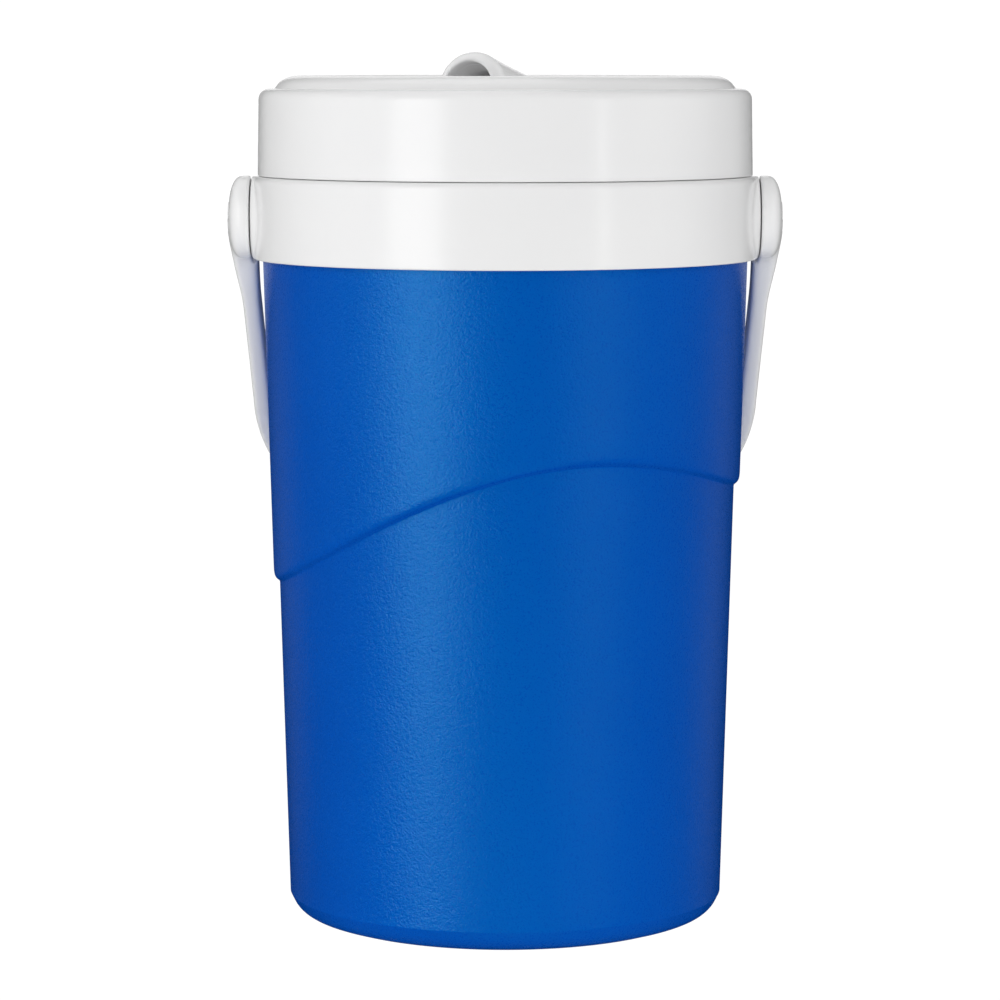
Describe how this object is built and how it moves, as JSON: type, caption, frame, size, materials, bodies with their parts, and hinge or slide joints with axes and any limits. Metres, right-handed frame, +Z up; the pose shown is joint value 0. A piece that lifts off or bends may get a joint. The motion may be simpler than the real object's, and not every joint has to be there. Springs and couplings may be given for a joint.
{
  "type": "insulated beverage dispenser jug",
  "caption": "Insulated drinks jug with a screw-on lid, a flip-up pouring spout and a bail handle that swings over the lid.",
  "frame": {"origin": "centre of the foot ring's resting plane, on the jug's own axis", "axes": "+Z up along the jug's axis, -Y the front, +X to the right hand pivot of the handle"},
  "size_m": [0.2026, 0.1908, 0.317],
  "materials": {
    "body_blue": "blue moulded polyethylene with a fine grain",
    "trim_white": "smooth white moulded plastic, semi-gloss",
    "lid_white": "smooth white moulded plastic, semi-gloss",
    "spout_white": "polished white moulded plastic",
    "liner_white": "smooth food-grade white plastic",
    "foam": "rigid cream polyurethane foam",
    "seal_grey": "soft grey silicone rubber"
  },
  "bodies": {
    "jug": {"outer_body": "body_blue", "body_foam": "foam", "fill_plug": "body_blue", "inner_vessel": "liner_white", "collar": "trim_white"},
    "bail": {"handle": "trim_white", "handle_pin_left": "trim_white", "handle_pin_right": "trim_white"},
    "lid_carrier": {"lid_gasket": "seal_grey"},
    "lid": {"lid_shell": "lid_white", "lid_inner": "liner_white", "lid_foam": "foam", "spout_seal": "seal_grey", "spout_pin_left": "liner_white", "spout_pin_right": "liner_white"},
    "pourer": {"spout": "spout_white"}
  },
  "joints": [
    {"name": "handle_swing", "type": "hinge", "parent": "jug", "child": "bail", "pos_m": [0, 0, 0.257], "axis": [1, 0, 0], "range_deg": [0, 286]},
    {"name": "lid_lift", "type": "slide", "parent": "jug", "child": "lid_carrier", "axis": [0, 0, 1], "range_m": [0, 0.036]},
    {"name": "lid_turn", "type": "hinge", "parent": "lid_carrier", "child": "lid", "pos_m": [0, 0, 0.29], "axis": [0, 0, 1], "range_deg": [0, 1080]},
    {"name": "spout_flip", "type": "hinge", "parent": "lid", "child": "pourer", "pos_m": [0.00953, 0.01871, 0.2968], "axis": [-0.891, 0.454, 0], "range_deg": [0, 81.4]}
  ],
  "couplings": [
    {"joint": "lid_lift", "follows": "lid_turn", "m_per_rad": 0.0019098}
  ]
}
